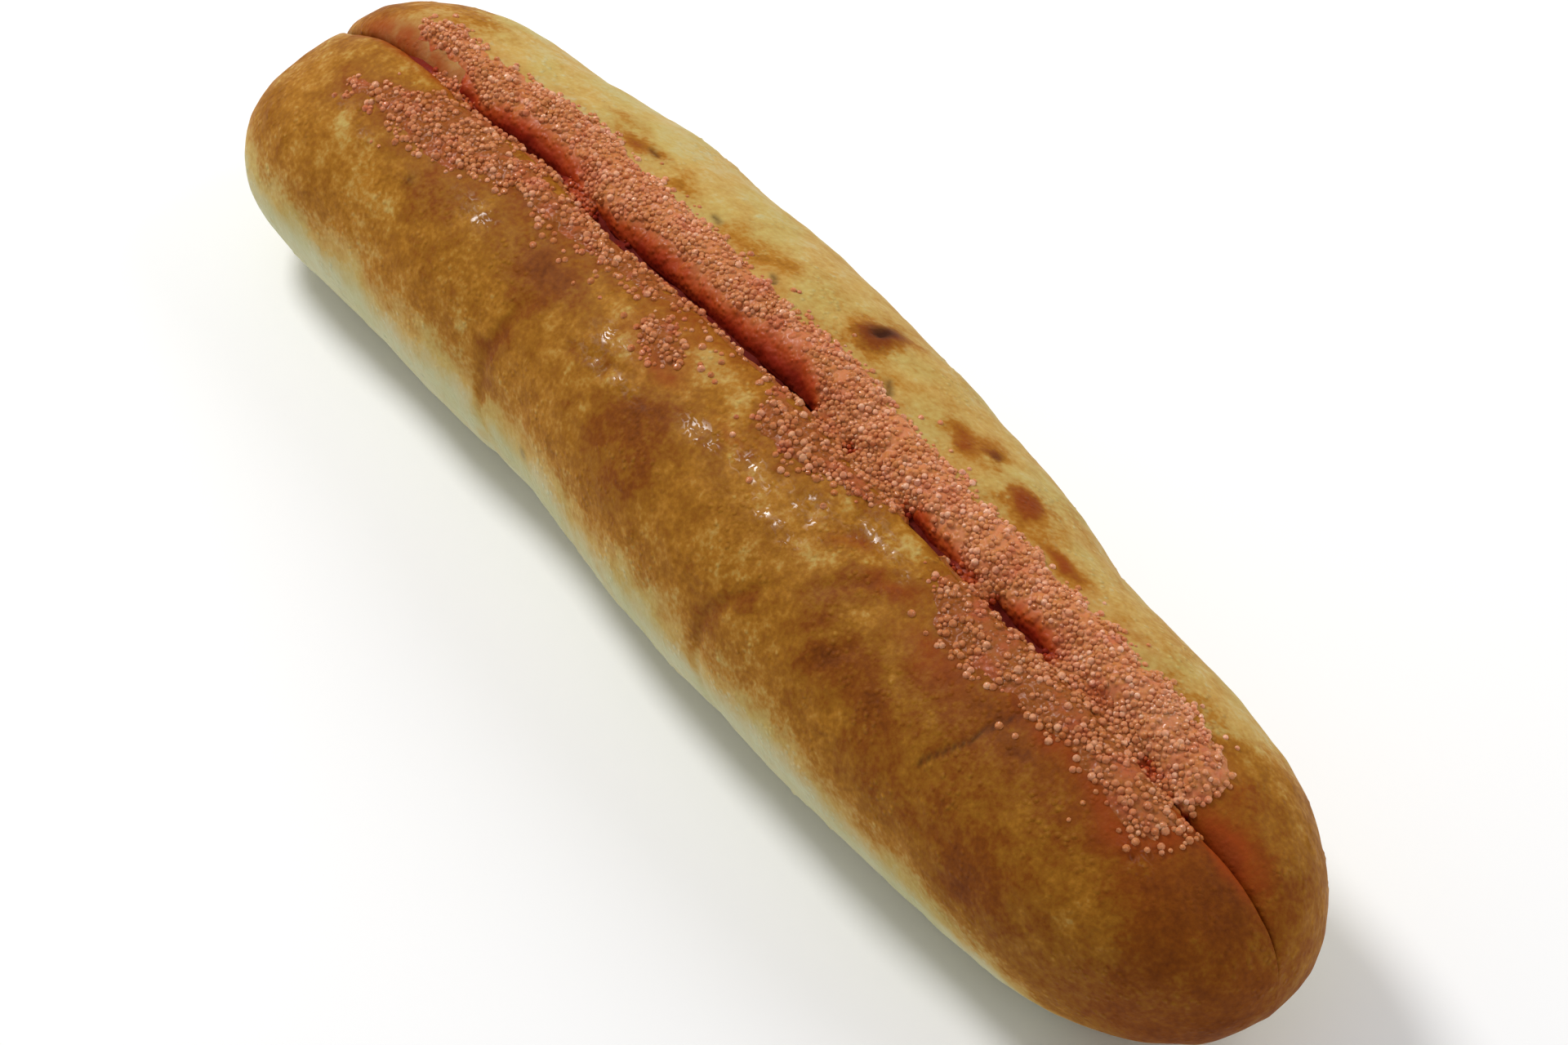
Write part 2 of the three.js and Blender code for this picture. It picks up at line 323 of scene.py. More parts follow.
# Places stained by roe butter: as for the blotches.
ORANGE_SPOTS = (
    (44, 12.8, 4.4, 2.6, -20, 0.36),
    (56, 9.9, 3.8, 1.8, 0, 0.36),
    (28, 14.6, 4, 2.6, 0, 0.2),
    (-54, 12.2, 4, 1.8, 0, 0.2),
    (-97, 2, 12, 4.5, 0, 0.09),
    (30, 12.2, 4, 2, 0, 0.2),
    (-13, -12, 8, 4.5, 0, 0.16),
    (-14, -6.5, 12, 2, 0, 0.12),
    (104, -10, 14, 12, 0, 0.08),
    (64, 9.5, 6, 1.4, 0, 0.05),
    (76, 10, 5, 1.4, 0, 0.14),
    (3.4, 16.6, 3.2, 4.2, 0, 0.36),
    (36, -12, 4.5, 1.5, 20, 0.26),
    (46, -13, 4, 1.8, 20, 0.24),
    (9, -14.5, 4, 1.4, 0, 0.26),
    (60, -16, 7, 2.4, 0, 0.26),
    (-10, -14.6, 6, 1.0, 0, 0.24),
    (100, 5, 6, 3, 0, 0.1),
    (109, 0, 5, 3.4, 0, 0.34),
    (99, -15.5, 6, 2, 0, 0.08),
)
# Wrinkled, buttered places: x, y, reach along, reach across.
WRINKLED = (
    (-95, -17, 2.6, 1.4),
    (-86, -19, 2.6, 1.2),
    (-59, -16, 4, 1.6),
    (-21, -17, 4.5, 1.8),
    (-20, -19.8, 7, 1),
    (-13, -20, 7, 0.9),
    (5, -17.4, 3.4, 1.2),
    (16, -15.8, 3.6, 1.4),
    (28, -13.5, 4.5, 2.2),
    (25, -19, 5, 1.3),
    (36, -8.5, 4.5, 3),
    (42, -9.5, 3.5, 2),
    (103, -13, 3, 2),
)
# Creases: the points they run through, width, depth.
FURROWS = (
    (((32, -25), (27, -29), (24, -31.5)), 0.9, 0.4),
    (((46, -12), (42, -17), (39, -20)), 1.0, 0.45),
    (((37, -11.4), (32, -13.4)), 0.9, 0.4),
    (((50, -22), (46, -27)), 1.2, 0.35),
    (((-38, -20), (-41, -27)), 1.3, 0.4),
    (((-26, -20.6), (-20, -19.2), (-14, -18.4)), 0.8, 0.35),
    (((32, -6.8), (36, -7.8), (41, -8)), 0.8, 0.4),
    (((33, -9.6), (38, -10.4), (44, -10)), 0.8, 0.4),
)

# The roe's outlines seen from above: each runs round the outside and comes back inside the cut.
OUTLINES = {
    PALE_LIP: (
        (-84, -3), (-87, -1), (-92, -1.4), (-98, -1), (-100.5, 2.2), (-98, 4.6), (-92, 5.6),
        (-86, 6.2), (-81, 7), (-77, 8.4), (-72, 9.7), (-66, 10.4), (-58, 10.2), (-50, 9.8),
        (-36, 9.7), (-28, 9.1), (-20, 8.5), (-12, 8), (0, 8.9), (15, 8.8), (30, 7.6), (45, 7.4),
        (60, 7.7), (75, 8), (84, 8), (88, 8), (93, 7.8), (97, 7.4), (101, 6), (103, 3.4),
        (103.2, 0.5), (102, -3),
    ),
    BLUNT_END: (
        (-80, -3), (-83.5, -5.6), (-88, -8.6), (-94, -11.2), (-101, -13), (-100, -15), (-95, -15.4),
        (-88, -15.8), (-81, -15.3), (-74, -15.5), (-69, -14.8), (-66, -12.8), (-60, -11.2),
        (-54, -9.8), (-48, -9.6), (-42, -9.6), (-34, -9.2), (-26, -8.2), (-18, -7), (-8, -6.4),
        (3, -5.6), (5, -3),
    ),
    ISLAND: (
        (-21.5, -9.6), (-17, -8.4), (-12, -9), (-7.2, -11.2), (-7.6, -14), (-12, -15), (-17, -13.8),
        (-21, -12.2),
    ),
    "roe_patch_middle": (
        (3, -3), (5.5, -6.5), (7.5, -9), (9.5, -11.8), (14, -13), (19, -12.2), (23, -10.4),
        (27, -9), (31, -7.6), (34, -5.6), (36, -3),
    ),
    "roe_patch_narrow_end": (
        (47, -3), (48.5, -8), (51, -11), (55, -13), (60, -13.8), (65, -13.5), (70, -12.9),
        (75, -12.8), (80, -12.8), (85, -12.4), (90, -12), (94, -12.9), (98, -14.4), (101.5, -13.4),
        (103.5, -10.6), (104.5, -7.8), (106, -5.5), (104, -3),
    ),
}
# How deep the filling lies under the lips: pairs of x and a depth. The deeper it lies, the darker red it
# is coloured, partly as painted shade.
FILL_DEPTH = (
    (-114, 9), (-104, 6), (-98, 1.8), (-93, 0.9), (-86, 1.0), (-80, 1.4), (-76, 2.8), (-68, 3.2),
    (-61, 3), (-58, 2.4), (-55, 1.5), (-48, 1.2), (-45.5, 2.2), (-41, 3.2), (-38, 2.0), (-35, 3),
    (-30, 3.4), (2, 3.4), (8, 4.5), (10.8, 5), (12, 0.6), (13.6, 1.2), (15, 0.6), (18.6, 0.8),
    (20.5, 1.9), (22.4, 0.7), (26, 0.5), (33, 0.6), (36, 2.4), (40, 3.2), (45, 2.4), (48, 1.6),
    (52, 1.3), (53.5, 0.5), (55, 0.8), (57, 2.6), (60, 3.4), (66, 3.0), (69, 1.6), (72, 0.8),
    (75, 0.5), (80, 1.1), (86, 0.6), (90, 0.7), (92, 1.6), (94, 1.4), (96, 0.6), (98, 0.8),
    (101, 2.5), (106, 4), (114, 5),
)
# How much of the pale lip is bare of grains beside the cut: pairs of x and a width.
BARE_INNER_LIP = (
    (-112, 3), (-92, 3.2), (-86, 3.2), (-82, 2.6), (-78, 2.2), (-74, 3.2), (-68, 4.2), (-62, 4.2),
    (-57, 3.4), (-54, 2.8), (-48, 2.2), (-46, 2.6), (-41, 3), (-35, 4.6), (-28, 4.2), (-22, 3.6),
    (-14, 3.6), (-8, 4.4), (-2, 5.2), (4, 5.2), (9, 3.4), (12, 0), (34, 0.2), (37, 2.4), (42, 2.2),
    (46, 2.2), (50, 1.4), (53.5, 0.2), (56, 2), (60, 3.8), (66, 3.4), (70, 2), (73, 0.2), (76, 2),
    (81, 2), (84, 0), (90.5, 0), (92, 1.6), (94, 1.2), (95.5, 0), (112, 0),
)

# Places on a half section, counted from the bottom: where the lip begins, the edge of the cut and
# the floor of the cut.
LIP_FROM, CUT_EDGE, FLOOR = 17, 21, 24


class Skin:
    """The loaf's fine surface, as arrays (section, point) or (section, point, xyz) in mm.

    It holds points, normals, place (on the half section), side (1 on the pale side, -1 on the brown
    side), cut (the y of the cut's middle), depth (below the cut's edge) and wrinkled."""


def shape_ends(points, cut):
    """Pinches the cut shut towards both ends, and bends it towards +Y in three places."""
    x, y, z = points[..., 0], points[..., 1], points[..., 2]
    shut = 0.8 * ramp(-x, 78, 88) + 0.86 * ramp(x, 95, 101)
    y -= shut * (y - cut) * bell(y - cut, 3.2)
    lean = 5.2 * ramp(-x, 72, 112) + 1.3 * bell(x + 60, 14) + 0.8 * bell(x - 8, 9)
    y += lean * bell(y - cut - 1, 11) * ramp(z, 6, 22)


def around_pieces(step):
    """How finely each stretch of a section is divided: coarse below, fine above, medium in the cut."""
    fine = 5.1 / (step / MM)
    coarse = [2] * 4 + [4] * 2 + [6] * 3
    flank = coarse + [round(fine)] * (LIP_FROM - len(coarse))
    half = flank + [4] * (CUT_EDGE - LIP_FROM) + [3] * (FLOOR - CUT_EDGE)
    return half + [2] + half[::-1]


@functools.lru_cache(maxsize=1)
def loaf_skin():
    """The skin that the crust and all the roe are made on, worked out once."""
    settings = bpy.context.scene.loaf_settings
    rings = loaf_rings()
    around = around_pieces(settings.step_around)
    lengths = np.linalg.norm(np.diff(rings, axis=0), axis=-1).max(1)
    lengthwise = [max(2, round(d * MM / settings.step_along)) for d in lengths]
    fine = smooth_between(rings, lengthwise, closed=False)
    fine = smooth_between(fine.transpose(1, 0, 2), around, closed=True).transpose(1, 0, 2)
    skin = Skin()
    skin.place = np.concatenate([i + np.arange(n) / n for i, n in enumerate(around)])
    mirrored = 2 * FLOOR + 1 - skin.place
    skin.side = np.where(skin.place <= FLOOR + 0.5, 1, -1)
    skin.place = np.where(skin.side > 0, skin.place, mirrored)[None] + 0 * fine[..., 0]
    skin.side = skin.side[None] + 0 * fine[..., 0]
    edge = np.abs(skin.place[0] - CUT_EDGE) < 1e-6
    shape_ends(fine, cut=fine[:, edge, 1].mean(1)[:, None])
    skin.cut = fine[:, edge, 1].mean(1)[:, None]
    skin.points = fine
    skin.normals = outward(fine)
    skin.depth = below_edge(skin, edge)
    relief(skin, settings)
    skin.normals = outward(skin.points)
    return skin


def outward(points):
    """Unit normals of a grid whose second direction is a closed loop."""
    lengthwise = np.gradient(points, axis=0)
    around = (np.roll(points, -1, 1) - np.roll(points, 1, 1)) / 2
    normal = np.cross(around, lengthwise)
    length_of = np.linalg.norm(normal, axis=-1, keepdims=True)
    normal = normal / np.maximum(length_of, 1e-9)
    normal[0], normal[-1] = (-1, 0, 0), (1, 0, 0)
    return normal


def below_edge(skin, edge):
    """How far each point of the cut's walls lies below the nearer edge of the cut, and 0 outside it."""
    z = skin.points[..., 2]
    edge_height = z[:, edge]
    top = np.where(skin.side > 0, edge_height.max(1)[:, None], edge_height.min(1)[:, None])
    return np.where(skin.place > CUT_EDGE, np.maximum(top - z, 0), 0)


def relief(skin, settings):
    """Moves the skin in and out: dough lumps, baked dimples, wrinkles, creases and a burst blister."""
    p = skin.points
    free = 1 - ramp(skin.depth, 0, 2)
    upper = ramp(p[..., 2], 2, 10)
    lumps = ripple(p, 26, 1) + 0.5 * ripple(p, 13, 2)
    move = settings.lump_height / MM * lumps * upper
    dimples = ripple(p, 5.5, 3) + 0.6 * ripple(p, 2.7, 4)
    move += settings.dimple_height / MM * dimples * upper
    wrinkled = np.minimum(sum(spot(p, *place) for place in WRINKLED), 1)
    turned = p @ np.array([[0.94, -0.34, 0], [0.34, 0.94, 0], [0, 0, 1]]).T
    folds = np.abs(ripple(turned * (1, 0.3, 0.3), 1.9, 5))
    folds = folds + 0.7 * np.abs(ripple(turned * (1, 0.4, 0.4), 1.1, 6))
    move += settings.wrinkle_height / MM * (0.6 - 1.6 * folds) * wrinkled
    for stops, width, deep in FURROWS:
        move -= deep * furrow(p, stops, width)
    for stops, width in CRACKS:
        move -= 0.25 * furrow(p, stops, width)
    blister = spot(p, 3, 16.8, 2.8, 3.8)
    move += 0.7 * blister - 0.9 * blister**8
    blisters = ramp(ripple(p, 1.6, 9), 0.42, 0.75) * ramp(ripple(p, 22, 10), -0.1, 0.35)
    move += 0.22 * blisters * upper
    move[0] = move[-1] = 0
    skin.points = p + skin.normals * (move * (0.15 + 0.85 * free))[..., None]
    skin.points[..., 2] = np.maximum(skin.points[..., 2], 0)
    skin.wrinkled = wrinkled


def warped(points, reach):
    """The points shifted by smooth noise, so that masks made with them get natural edges."""
    shift = np.stack([ripple(points, 5, 31), ripple(points, 5, 32), 0 * points[..., 0]], -1)
    fine = np.stack([ripple(points, 1.8, 33), ripple(points, 1.8, 34), 0 * points[..., 0]], -1)
    return points + reach * shift + 0.45 * reach * fine


def pale_share(skin):
    """1 on the pale side of the cut and 0 on the brown side, blended over the loaf's two noses."""
    x, y = np.abs(skin.points[..., 0]), skin.points[..., 1]
    blend = 0.5 + 9 * ramp(x, 106, 119)
    share_of = ramp(y - skin.cut, -blend, blend)
    cut_open = 1 - ramp(x, 104, 108)
    return share_of + ((skin.side > 0) - share_of) * cut_open


def browning(skin):
    """How well baked the crust is at each point: 0 pale, 0.5 golden, 1 dark."""
    p, n = skin.points, skin.normals
    x, z = p[..., 0], p[..., 2]
    low = 26.8 - 4 * ramp(x, 40, 88) - 12 * ramp(x, 86, 110)
    wander = 2.5 * ripple(p, 16, 21) + 1.2 * ripple(p, 5, 22)
    flank = ramp(z + wander, low - 12, low + 5)
    body = 0.47 + 0.15 * ramp(x, 45, 80) + 0.08 * ramp(x, 85, 118)
    brown_side = flank * body
    top = ramp(n[..., 2], 0.75, 0.98)
    tail = 0.32 * ramp(x + 0.6 * (z - 25), 90, 116)
    body = 0.17 + 0.07 * ramp(x, -60, 0) + 0.03 * top + tail + 0.16 * ramp(-x, 98, 118)
    pale_side = body * ramp(z + wander, 3, 14)
    brown = brown_side + (pale_side - brown_side) * pale_share(skin)
    shifted = warped(p, 2.2)
    for *place, strength in BLOTCHES:
        brown = brown + strength * spot(shifted, *place) * ramp(z, 8, 20)
    for stops, width, deep in FURROWS:
        brown = brown + 0.4 * deep * furrow(shifted, stops, 1.6 * width) * ramp(z, 10, 20)
    rough = 0.09 * ripple(p, 9, 23) + 0.07 * ripple(p, 3.6, 24)
    brown = brown + rough * (0.4 + 0.6 * ramp(brown, 0.1, 0.4))
    return np.clip(brown, 0, 1)


def burning(skin):
    """Where the crust is burnt: 0 not at all, 1 charred."""
    shifted = warped(skin.points, 0.5)
    burn = sum(s * spot(shifted, x, y, rx, ry) for x, y, rx, ry, s in BURNS)
    for stops, width in CRACKS:
        burn = burn + 0.7 * furrow(skin.points, stops, width)
    burn = burn * ramp(skin.points[..., 2], 15, 25)
    dot = bell(np.linalg.norm(shifted - BURNT_DOT, axis=-1), 0.9)
    return np.clip(burn + dot, 0, 1)


def staining(skin, near_roe):
    """Where melted roe soaked in: 0 dry, 0.5 red, 1 the dark red of the deep cut. Its rise with depth in
    the cut and towards the creases at the ends is partly painted shade.
    """
    x = skin.points[..., 0]
    wet = ramp(x, -112, -98) * (1 - 0.3 * ramp(x, 108, 120))
    lip = np.where(skin.side > 0, 0.6, 0.3) * ramp(skin.place, LIP_FROM + 2.0, CUT_EDGE - 0.6)
    # Darker the deeper the wall lies in the cut: partly soaked roe, partly painted shade.
    deep = 0.4 * ramp(skin.depth, 1, 8)
    from_cut = np.abs(skin.points[..., 1] - skin.cut + 0.8 * ripple(skin.points, 3, 63))
    reach = np.where(skin.side > 0, 5.0, 2.6)
    # Red-brown along the closed crease at the narrow end and the groove at the blunt end, strongest on
    # their line: roe soaked in, and partly painted shade in the crease.
    crease = 0.5 * (1 - ramp(from_cut / reach, 0.1, 1)) * ramp(x, 98, 106) * (1 - ramp(x, 110, 121))
    groove = 0.55 * (1 - ramp(from_cut / (1.2 * reach), 0.1, 1))
    groove = groove * ramp(-x, 72, 84) * (1 - ramp(-x, 106, 118))
    shifted = warped(skin.points, 1.6)
    spots = sum(strength * spot(shifted, *place) for *place, strength in ORANGE_SPOTS)
    rim = 0.09 * near_roe + 0.32 * near_roe**3 * ramp(x, 66, 84) * (skin.side < 0)
    above = ramp(skin.points[..., 2], 12, 22)
    soaked = np.max([lip * wet + deep, rim, above * crease, above * groove], 0)
    return np.clip(soaked + spots, 0, 1)


# ---- where the roe lies


def along(stops, x):
    """Values at x between pairs of x and a value."""
    at, value = np.array(stops, float).T
    return np.interp(x, at, value)


def inside_outline(points, outline):
    """How far each point is inside a closed outline seen from above, in mm, negative outside it."""
    corners = np.array(outline, float)
    x, y = points[..., 0], points[..., 1]
    nearest = np.full(x.shape, 1e9)
    inside = np.zeros(x.shape, bool)
    for (ax, ay), (bx, by) in zip(corners, np.roll(corners, -1, 0)):
        length_squared = (bx - ax) ** 2 + (by - ay) ** 2
        t = np.clip(((x - ax) * (bx - ax) + (y - ay) * (by - ay)) / length_squared, 0, 1)
        nearest = np.minimum(nearest, np.hypot(x - ax - t * (bx - ax), y - ay - t * (by - ay)))
        if by != ay:
            crosses = ((ay > y) != (by > y)) & (x < ax + (y - ay) / (by - ay) * (bx - ax))
            inside ^= crosses
    return np.where(inside, nearest, -nearest)


# ---- meshes


def tube_faces(rings, around):
    """The quads of a tube through so many rings of so many points each."""
    index = np.arange(rings * around).reshape(rings, around)
    after = np.roll(index, -1, 1)
    return np.stack([index[:-1], after[:-1], after[1:], index[1:]], -1).reshape(-1, 4).tolist()


def mesh_object(name, vertices, faces, values):
    """A smooth-shaded object in the scene, with its values as float attributes of the points."""
    mesh = bpy.data.meshes.new(name)
    mesh.from_pydata(vertices.tolist(), [], faces)
    for key, value in values.items():
        attribute = mesh.attributes.new(key, "FLOAT", "POINT")
        attribute.data.foreach_set("value", np.ascontiguousarray(value, np.float32).ravel())
    mesh.shade_smooth()
    piece = bpy.data.objects.new(name, mesh)
    bpy.context.scene.collection.objects.link(piece)
    return piece


def loaf_object(skin, values):
    """The skin as one closed mesh, each tip a single point."""
    body = skin.points[1:-1]
    rings, around = body.shape[:2]
    first, last = rings * around, rings * around + 1
    sides = [(j, (j + 1) % around) for j in range(around)]
    blunt = [(first, b, a) for a, b in sides]
    narrow = [(last, first - around + a, first - around + b) for a, b in sides]
    faces = tube_faces(rings, around) + blunt + narrow
    vertices = np.concatenate([body.reshape(-1, 3), skin.points[:1, 0], skin.points[-1:, 0]]) * MM
    flat = {k: np.concatenate([v[1:-1].ravel(), v[:1, 0], v[-1:, 0]]) for k, v in values.items()}
    return mesh_object("loaf_crust", vertices, faces, flat)


def slab_object(name, top, bottom, values):
    """A closed slab between two grids of points in mm. Each value is a pair, for top and bottom."""
    ring = np.concatenate([top, bottom[:, ::-1]], 1)
    rings, around = ring.shape[:2]
    faces = tube_faces(rings, around)
    for base, flip in ((0, False), ((rings - 1) * around, True)):
        for j in range(around // 2 - 1):
            quad = (base + j, base + around - 1 - j, base + around - 2 - j, base + j + 1)
            faces.append(quad[::-1] if flip else quad)
    flat = {key: np.concatenate(pair, 1) for key, pair in values.items()}
    return mesh_object(name, ring.reshape(-1, 3) * MM, faces, flat)


# ---- materials


def join(tree, value, socket):
    """Links the value to the socket if it is another node's output, and otherwise sets it there."""
    if isinstance(value, bpy.types.NodeSocket):
        tree.links.new(value, socket)
    else:
        socket.default_value = value


def add_node(tree, kind, inputs=(), **settings):
    node = tree.nodes.new(kind)
    for key, value in settings.items():
        setattr(node, key, value)
    for key, value in dict(inputs).items():
        join(tree, value, node.inputs[key])
    return node


class Nodes:
    """A material's node tree, with short ways to add what this object needs."""

    def __init__(self, name):
        self.material = bpy.data.materials.new(name)
        self.material.use_nodes = True
        self.tree = self.material.node_tree
        self.shader = self.tree.nodes["Principled BSDF"]

    def add(self, kind, inputs=(), **settings):
        return add_node(self.tree, "ShaderNode" + kind, inputs, **settings)

    def attribute(self, name):
        return self.add("Attribute", attribute_name=name).outputs["Fac"]

    def place(self):
        return self.add("TexCoord").outputs["Object"]

    def noise(self, size, detail=2.0, roughness=0.5):
        """Noise with features of about this size in metres."""
        inputs = {"Vector": self.place(), "Scale": 1 / size, "Detail": detail, "Roughness": roughness}
        return self.add("TexNoise", inputs).outputs["Fac"]

    def maths(self, operation, a, b=0.0, clamp=False):
        return self.add("Math", {0: a, 1: b}, operation=operation, use_clamp=clamp).outputs[0]

    def times(self, a, b):
        return self.maths("MULTIPLY", a, b)

    def span(self, value, low, high, to_low=0.0, to_high=1.0):
        inputs = {0: value, 1: low, 2: high, 3: to_low, 4: to_high}
        return self.add("MapRange", inputs).outputs[0]

    def mix(self, factor, a, b, blend="MIX"):
        node = self.add("Mix", {0: factor}, data_type="RGBA", blend_type=blend, clamp_factor=True)
        for key, value in ((6, a), (7, b)):
            plain = not isinstance(value, bpy.types.NodeSocket)
            join(self.tree, (*value, 1) if plain else value, node.inputs[key])
        return node.outputs[2]

    def colours(self, value, stops):
        """A colour ramp over stops of (place, colour)."""
        stops = list(stops)
        node = self.add("ValToRGB", {0: value})
        elements = node.color_ramp.elements
        while len(elements) < len(stops):
            elements.new(0.5)
        for element, (at, rgb) in zip(elements, stops):
            element.position = at
            element.color = (*rgb, 1)
        return node.outputs[0]

    def bump(self, height, distance, strength=1.0, under=None):
        inputs = {"Height": height, "Distance": distance, "Strength": strength}
        if under is not None:
            inputs["Normal"] = under
        return self.add("Bump", inputs).outputs[0]

    def set(self, **inputs):
        for key, value in inputs.items():
            join(self.tree, value, self.shader.inputs[key.replace("_", " ")])


GREENISH = (0.42, 0.40, 0.13)  # the underbaked cast of the pale crust
BLED = (0.52, 0.10, 0.05)  # redder roe where its juice gathered
# What the roe's colours are multiplied by, from brownish to rosy, and from dry to wet. The wet end is
# the dark red of soaked roe, and where wet follows depth in the cut it is also painted shade.
RIPE_TINTS = ((0.0, (0.76, 0.65, 0.48)), (0.5, (0.86, 0.81, 0.71)), (1.0, (1, 1, 1)))
WET_AND_SHADE_TINTS = (
    (0.0, (1, 1, 1)),
    (0.45, (0.78, 0.34, 0.16)),
    (0.75, (0.47, 0.08, 0.032)),
    (1.0, (0.30, 0.04, 0.02)),
)


def crust_colour(n, s, mottle, blister):
    """Browning, then roe butter, darkest deep in the cut where it is partly painted shade, then char."""
    speckle = n.noise(0.0009, 2)
    baked = n.attribute("browning")
    fine = n.span(speckle, 0.3, 0.7, -0.08, 0.08)
    varied = n.maths("ADD", n.span(mottle, 0.3, 0.7, -0.08, 0.08), fine)
    varied = n.times(varied, n.span(baked, 0.1, 0.42, 0.25, 1.1))
    baked = n.maths("ADD", baked, varied)
    baked = n.maths("SUBTRACT", baked, n.times(blister, 0.09))
    at = (0.0, 0.2, 0.38, 0.52, 0.7, 1.0)
    tone = n.colours(baked, zip(at, (s.pale, s.straw, s.honey, s.golden, s.brown, s.dark)))
    green = n.span(n.noise(0.012, 1), 0.42, 0.62, 0.05, 0.32)
    tone = n.mix(n.times(green, n.span(baked, 0.45, 0.25)), tone, GREENISH)
    soak = n.attribute("stain")
    soaked = n.times(n.span(soak, 0.0, 0.6), n.span(mottle, 0.25, 0.6, 0.75, 1.0))
    tone = n.mix(soaked, tone, s.stain)
    # The deep stain: soaked crumb, and partly painted shade deep in the cut and in the closed crease.
    tone = n.mix(n.span(soak, 0.6, 1.0), tone, s.deep_stain_and_shade)
    return n.mix(n.attribute("burn"), tone, s.char)


def butter_glints(n, buttered):
    """Short crooked ridges that glint where the crust is buttered."""
    turned = {"Vector": n.place(), "Rotation": (0, 0, 0.5), "Scale": (1, 1.8, 1)}
    streaks = n.add("Mapping", turned).outputs[0]
    creases = {"Vector": streaks, "Scale": 1 / 0.0019, "Detail": 1.0, "Distortion": 1.8}
    ridges = n.span(n.add("TexNoise", creases).outputs["Fac"], 0.54, 0.61)
    return n.times(n.maths("MULTIPLY", buttered, 1.3, clamp=True), ridges)


def crust_material(s):
    n = Nodes("baked_crust")
    mottle = n.noise(0.0034, 3)
    cells = n.add("TexVoronoi", {"Vector": n.place(), "Scale": 1 / 0.0013}).outputs[0]
    blister = n.times(n.span(cells, 0.42, 0.08), n.span(n.noise(0.009, 2), 0.42, 0.62))
    buttered = n.attribute("buttered")
    rough = n.maths("ADD", n.span(buttered, 0, 1, 0.62, 0.42), n.span(mottle, 0.3, 0.7, -0.06, 0.06))
    pores = n.bump(n.noise(0.0008, 3, 0.6), 0.00016, 0.8)
    grain = n.bump(n.noise(0.0024, 2), 0.0004, 0.6, pores)
    grain = n.bump(blister, 0.00025, 0.8, grain)
    n.set(Base_Color=crust_colour(n, s, mottle, blister), Roughness=rough, Normal=grain)
    n.set(Subsurface_Weight=0.12, Subsurface_Radius=(1.0, 0.5, 0.2), Subsurface_Scale=0.0012)
    n.set(Specular_IOR_Level=0.1, Coat_Weight=butter_glints(n, buttered), Coat_Roughness=0.2)
    return n.material


def roe_colour(n, s, grain, wet, cells):
    """Beads from orange to pink and milky on darker paste, browned and wetted; the deep red of the wet
    tint is partly painted shade in the cut.
    """
    tint = n.attribute("tint")
    rosy = n.attribute("rosy")
    patchy = n.span(n.noise(0.005, 2), 0.35, 0.65)
    bead = n.mix(n.maths("ADD", n.times(tint, 0.6), n.times(patchy, 0.4)), s.orange, s.pink)
    bead = n.mix(n.span(tint, 0.78, 0.95), bead, s.milky)
    paste = n.mix(n.span(cells, 0.15, 0.55), s.orange, s.paste)
    paste = n.mix(n.span(rosy, 0.5, 0.2, 0.0, 0.75), paste, s.soaked)
    ripe = n.colours(rosy, RIPE_TINTS)
    paste = n.mix(1.0, paste, ripe, "MULTIPLY")
    bead = n.mix(0.8, bead, ripe, "MULTIPLY")
    tone = n.mix(grain, paste, bead)
    tone = n.mix(n.span(n.noise(0.0042, 3), 0.5, 0.72, 0.0, 0.5), tone, BLED)
    # Wet darkens the roe to deep red: soaked roe, and in the cut also painted shade.
    return n.mix(1.0, tone, n.colours(wet, WET_AND_SHADE_TINTS), "MULTIPLY")


def roe_material(s):
    n = Nodes(ROE_MATERIAL)
    grain = n.attribute("grain")
    wet = n.attribute("wet")
    voronoi = {"Vector": n.place(), "Scale": 1 / 0.0009}
    cells = n.add("TexVoronoi", voronoi, feature="SMOOTH_F1").outputs[0]
    tone = roe_colour(n, s, grain, wet, cells)
    seeds = n.times(n.span(cells, 0.6, 0.1), n.span(wet, 0.3, 0.8, 1.0, 0.3))
    bumps = n.bump(seeds, 0.00035, 0.9, n.bump(n.noise(0.0009, 2), 0.0002, 0.4))
    n.set(Base_Color=tone, Roughness=n.span(wet, 0.3, 0.9, 0.34, 0.7), Normal=bumps)
    oily = n.times(n.span(wet, 0.2, 0.8, 0.4, 0.03), n.span(grain, 0, 1, 0.1, 1))
    oily = n.maths("ADD", oily, n.times(n.attribute("glossy"), 0.8))
    n.set(Coat_Weight=oily, Coat_Roughness=0.1, Coat_Normal=bumps)
    n.set(Subsurface_Weight=0.3, Subsurface_Radius=(1.0, 0.4, 0.25), Subsurface_Scale=0.0008)
    n.set(Specular_IOR_Level=0.12)
    return n.material


def floor_material(s):
    n = Nodes("plain_floor")
    n.set(Base_Color=(*s.floor, 1), Roughness=0.9)
    return n.material


def finish_piece(piece, material, node):
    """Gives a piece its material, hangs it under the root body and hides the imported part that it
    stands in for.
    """
    piece.data.materials.clear()
    piece.data.materials.append(material)
    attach(piece, "root")
    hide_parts(node)


# ---- grains of roe


